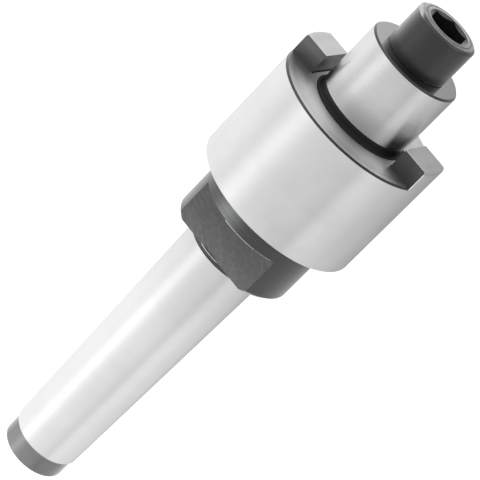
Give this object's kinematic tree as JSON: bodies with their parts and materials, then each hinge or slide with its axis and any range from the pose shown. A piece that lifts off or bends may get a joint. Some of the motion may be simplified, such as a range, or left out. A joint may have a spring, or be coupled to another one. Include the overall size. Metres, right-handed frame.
{
  "type": "face mill arbor",
  "caption": "Morse taper arbor with a ground pilot, two drive lugs, spanner flats and a socket head cap screw that clamps a face mill cutter on the pilot.",
  "frame": {"origin": "on the spindle axis, in the gauge plane of the Morse taper", "axes": "+Z along the spindle axis, towards the cutter; +X through the drive lugs; +Y square to the spanner flats"},
  "size_m": [0.048, 0.048, 0.17],
  "materials": {
    "ground_steel": "cylindrically ground, with the collar, neck, tail and lug sides left black",
    "black_steel": "black oxide"
  },
  "bodies": {
    "arbor": {"arbor": "ground_steel"},
    "retaining_screw": {"retaining_screw": "black_steel"}
  },
  "joints": [
    {"name": "retaining_screw_travel", "type": "slide", "parent": "arbor", "child": "retaining_screw", "axis": [0, 0, 1], "range_m": [0, 0.036]}
  ]
}
